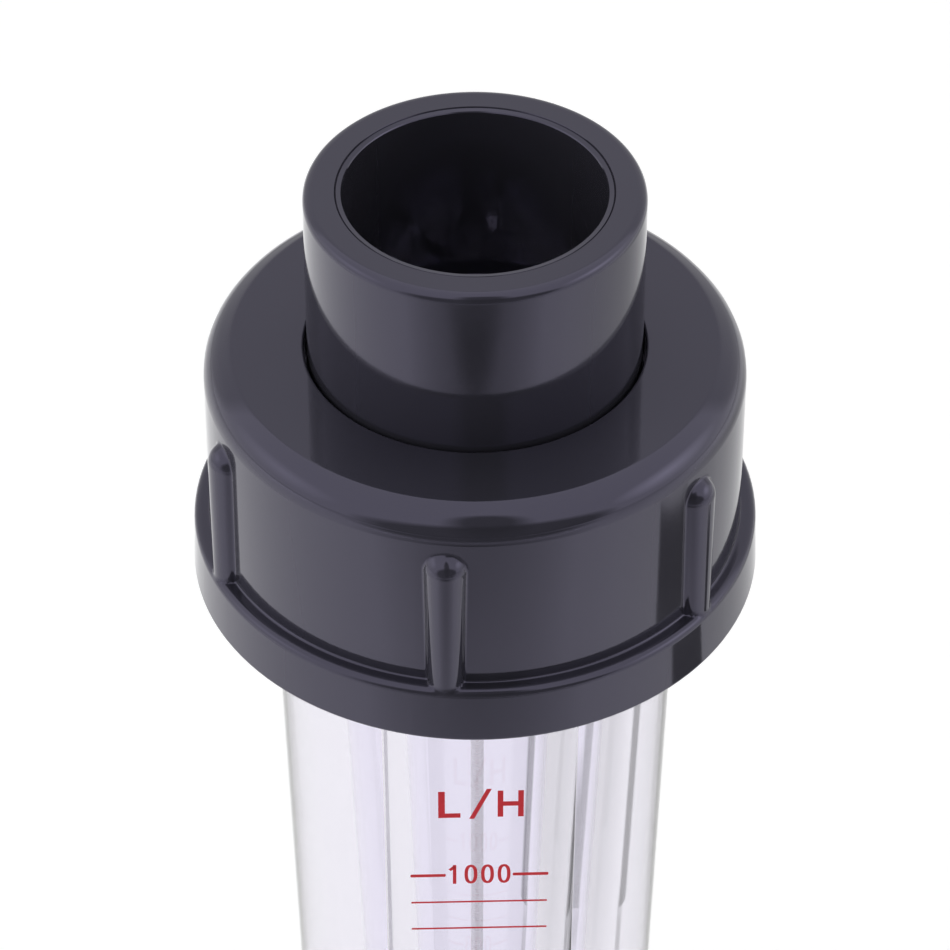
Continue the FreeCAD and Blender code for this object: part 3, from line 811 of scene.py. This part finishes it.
def soft_rubber():
    """Black rubber with a fine grain."""
    material, tree, shader = new_material("soft_rubber")
    shader.inputs["Base Color"].default_value = (0.018, 0.018, 0.019, 1)
    tree.links.new(spread(tree, noise(tree, 900, 3), 0.5, 0.65), shader.inputs["Roughness"])
    bump(tree, shader, noise(tree, 2600, 3), 0.2, 0.02)
    return material


def white_bush():
    """Waxy white plastic of the float's bushes."""
    material, tree, shader = new_material("white_bush")
    colour = mix_colour(tree, spread(tree, noise(tree, 400, 3), 0, 1), (0.74, 0.73, 0.70), (0.80, 0.79, 0.77))
    tree.links.new(colour, shader.inputs["Base Color"])
    shader.inputs["Roughness"].default_value = 0.42
    bump(tree, shader, noise(tree, 3000, 2), 0.1, 0.01)
    return material


def paint(pieces, material):
    """Gives pieces a material."""
    for piece in pieces:
        piece.data.materials.clear()
        piece.data.materials.append(material)


paint([inlet_socket, outlet_socket, inlet_nut, outlet_nut, *nut_threads], dark_plastic())
paint([tube, *threads], clear_plastic())
paint(prints, red_ink())
paint([edge_shade_piece], edge_shade())
paint([nodes["lower_rod_support"], nodes["upper_rod_support"]],
      clear_plastic("support_plastic", (0.90, 0.90, 0.91), 0.06))
paint([nodes[name] for name in ("guide_rod", "lower_rod_washer", "upper_rod_washer",
                                "lower_rod_nut", "upper_rod_nut", "float_body")], turned_steel())
paint([nodes[name] for name in ("lower_bumper", "upper_bumper", "inlet_seal", "outlet_seal")],
      soft_rubber())
paint([nodes["float_lower_bush"], nodes["float_upper_bush"]], white_bush())


# Studio: a white floor and tent, dark and bright cards of painted reflection, soft lights and the camera
# where the photographer stood. The strengths say how bright the floor and the tent are to each kind of ray.

FLOOR_HALF = 1500
FLOOR_TO_CAMERA = 0.3
FLOOR_MIRRORED = 0.38
FLOOR_THROUGH = 0.20
TENT_LIGHT = 0.45
TENT_MIRRORED = 1.15
CARD_GLOW = 0.02
LIGHT_TARGET = (0, 0, 0.14)

CAMERA_HEIGHT = 380.2
CAMERA_BACK = 271.1
CAMERA_TILT = 49.25
LENS = 170.5
VIEW_TURN = -1.6


def white_floor():
    """A pale floor that looks white to the camera, through the plastic and in it, and keeps the shadow."""
    mesh = bpy.data.meshes.new("floor")
    half = FLOOR_HALF * MM
    corners = [(-half, -half, 0), (half, -half, 0), (half, half, 0), (-half, half, 0)]
    mesh.from_pydata(corners, [], [(0, 1, 2, 3)])
    floor = bpy.data.objects.new("floor", mesh)
    bpy.context.scene.collection.objects.link(floor)
    material, tree, shader = new_material("floor_white")
    shader.inputs["Base Color"].default_value = (0.88, 0.88, 0.88, 1)
    shader.inputs["Roughness"].default_value = 0.9
    shader.inputs["Specular IOR Level"].default_value = 0.1
    shader.inputs["Emission Color"].default_value = (1, 1, 1, 1)
    path = tree.nodes.new("ShaderNodeLightPath")
    mirrored = spread(tree, path.outputs["Is Glossy Ray"], 0, FLOOR_MIRRORED, 0, 1)
    beyond = either(tree, path.outputs["Is Transmission Ray"], mirrored, FLOOR_THROUGH)
    glow = either(tree, path.outputs["Is Camera Ray"], beyond, FLOOR_TO_CAMERA)
    tree.links.new(glow, shader.inputs["Emission Strength"])
    mesh.materials.append(material)


def seen(place):
    """A place given in millimetres as the photographer sees it, turned into the frame's metres."""
    x, y, z = place
    cosine, sine = math.cos(math.radians(VIEW_TURN)), math.sin(math.radians(VIEW_TURN))
    return (x * cosine - y * sine) * MM, (x * sine + y * cosine) * MM, z * MM


def off_middle(tree, oval):
    """How far a point of a card is from its middle, where its edge is one: an oval edge or a square one."""
    away = tree.nodes.new("ShaderNodeVectorMath")
    away.operation = "LENGTH" if oval else "ABSOLUTE"
    tree.links.new(object_point(tree), away.inputs[0])
    if oval:
        return away.outputs["Value"]
    sides = tree.nodes.new("ShaderNodeSeparateXYZ")
    tree.links.new(away.outputs["Vector"], sides.inputs[0])
    larger = tree.nodes.new("ShaderNodeMath")
    larger.operation = "MAXIMUM"
    tree.links.new(sides.outputs["X"], larger.inputs[0])
    tree.links.new(sides.outputs["Y"], larger.inputs[1])
    return larger.outputs[0]


def card(name, place, half_width, half_height, softness, depth, glow=CARD_GLOW, facing=None, turn=0,
         oval=True, through=False):
    """A card of painted reflection, dark or glowing, that shows only in what the plastic mirrors or, if
    through is set, only through the clear plastic.

    Place and half sizes are in millimetres. A card lies flat, turned by turn, unless facing says which way it
    stands upright. Softness is the share at its edge that fades out, and depth how much its middle hides.
    Glow
    is how bright it shines: faintly for painted shade, brightly for painted highlights.
    """
    mesh = bpy.data.meshes.new(name)
    mesh.from_pydata([(-1, -1, 0), (1, -1, 0), (1, 1, 0), (-1, 1, 0)], [], [(0, 1, 2, 3)])
    piece = bpy.data.objects.new(name, mesh)
    piece.location = seen(place)
    piece.scale = (half_width * MM, half_height * MM, 1)
    tilt = 0 if facing is None else math.pi / 2
    piece.rotation_euler = (tilt, 0, math.radians(VIEW_TURN + (facing or 0) + turn))
    piece.visible_camera = False
    piece.visible_diffuse = False
    piece.visible_shadow = False
    piece.visible_glossy = not through
    piece.visible_transmission = through
    bpy.context.scene.collection.objects.link(piece)
    material, tree, _ = new_material(name)
    clear_part = spread(tree, off_middle(tree, oval), 1 - depth, 1, 1 - softness, 1)
    if not through:
        path = tree.nodes.new("ShaderNodeLightPath")
        clear_part = either(tree, path.outputs["Is Transmission Ray"], clear_part, 1.0)
    light = tree.nodes.new("ShaderNodeEmission")
    light.inputs["Strength"].default_value = glow
    see_through = tree.nodes.new("ShaderNodeBsdfTransparent")
    mix = tree.nodes.new("ShaderNodeMixShader")
    tree.links.new(clear_part, mix.inputs[0])
    tree.links.new(light.outputs[0], mix.inputs[1])
    tree.links.new(see_through.outputs[0], mix.inputs[2])
    tree.links.new(mix.outputs[0], tree.nodes["Material Output"].inputs["Surface"])
    mesh.materials.append(material)


def soft_light(name, place, width, height, power):
    """A rectangular soft light at a place in metres that faces the object."""
    light = bpy.data.lights.new(name, "AREA")
    light.shape = "RECTANGLE"
    light.size = width
    light.size_y = height
    light.energy = power
    lamp = bpy.data.objects.new(name, light)
    lamp.location = place
    aim = np.array(LIGHT_TARGET) - np.array(place)
    yaw = math.atan2(aim[1], aim[0]) - math.pi / 2
    pitch = math.atan2(aim[2], math.hypot(aim[0], aim[1])) + math.pi / 2
    lamp.rotation_euler = (pitch, 0, yaw)
    lamp.visible_camera = False
    lamp.visible_glossy = False
    bpy.context.scene.collection.objects.link(lamp)


def white_tent():
    """A white world round the object, plain white to the camera and through the clear plastic."""
    world = bpy.data.worlds.new("studio")
    world.use_nodes = True
    tree = world.node_tree
    path = tree.nodes.new("ShaderNodeLightPath")
    mirrored = spread(tree, path.outputs["Is Glossy Ray"], TENT_LIGHT, TENT_MIRRORED, 0, 1)
    beyond = either(tree, path.outputs["Is Transmission Ray"], mirrored, 1)
    strength = either(tree, path.outputs["Is Camera Ray"], beyond, 1)
    background = tree.nodes["Background"]
    background.inputs["Color"].default_value = (1, 1, 1, 1)
    tree.links.new(strength, background.inputs["Strength"])
    bpy.context.scene.world = world


white_floor()
white_tent()

# The right shade card and the upright and low line cards show only through the clear tube, as painted shade
# over it and its three painted dark lines. The other cards are painted shadow, painted shade and painted
# highlights in what the plastic mirrors.
# Painted shadow: the meter's own shadow on the floor to its right, as the plastic mirrors it.
card("right_painted_shadow", (180, -1, 1), 13, 28, 0.08, 0.9, oval=False)
# Painted shade in what the plastic mirrors: a dark spot in front, and darker floor in front, far off and to
# the right.
card("front_painted_shade_spot", (0, -219, 2), 78, 14, 0.7, 0.9)
card("front_painted_floor_shade", (0, -260, 1), 270, 130, 1.0, 1.0)
card("far_painted_floor_shade", (0, -570, 3), 640, 270, 0.45, 0.85)
card("right_painted_floor_shade", (230, 160, 4), 260, 260, 1.0, 0.5)
# Painted shade and two painted dark lines, seen only through the clear tube.
card("right_painted_shade_through", (128, 20, 5), 62, 75, 0.4, 0.16, through=True)
card("right_painted_line_upright", (63.5, 70.6, 30), 10, 60, 0.5, 0.7, facing=-45, oval=False, through=True)
card("right_painted_line_low", (60.4, 60.4, 2), 6.5, 11, 0.5, 0.45, turn=-45, oval=False, through=True)
# Painted shade in what the plastic mirrors: a darker wall in front, the photographer's painted reflection and
# a darker tent behind.
card("front_painted_wall_shade", (130, -800, 165), 1050, 520, 0.35, 0.86, facing=0)
card("photographer", (40, -400, 560), 150, 600, 0.5, 0.86, facing=0)
card("back_painted_wall_shade", (0, 900, 650), 2000, 850, 0.3, 0.40, facing=0)
# Painted highlights: glowing cards that are no lamps, seen only in what the plastic mirrors.
card("left_painted_highlight", (-730, -110, 480), 420, 300, 1.0, 1.0, glow=1.75, facing=90)
card("right_painted_highlight", (730, -110, 480), 420, 300, 1.0, 1.0, glow=2.4, facing=90)
soft_light("left_light", (-0.75, -0.15, 0.45), 0.5, 0.9, 2.2)
soft_light("right_light", (0.80, 0.10, 0.40), 0.4, 0.9, 1.2)
soft_light("top_light", (0, 0.35, 0.95), 0.9, 0.5, 2.5)

lens = bpy.data.cameras.new("camera")
lens.lens = LENS
lens.sensor_width = 36
lens.clip_start = 0.01
lens.clip_end = 20
camera = bpy.data.objects.new("camera", lens)
camera.location = seen((0, -CAMERA_BACK, CAMERA_HEIGHT))
camera.rotation_euler = (math.radians(CAMERA_TILT), 0, math.radians(VIEW_TURN))
bpy.context.scene.collection.objects.link(camera)
bpy.context.scene.camera = camera
bpy.context.scene.view_settings.view_transform = "Standard"
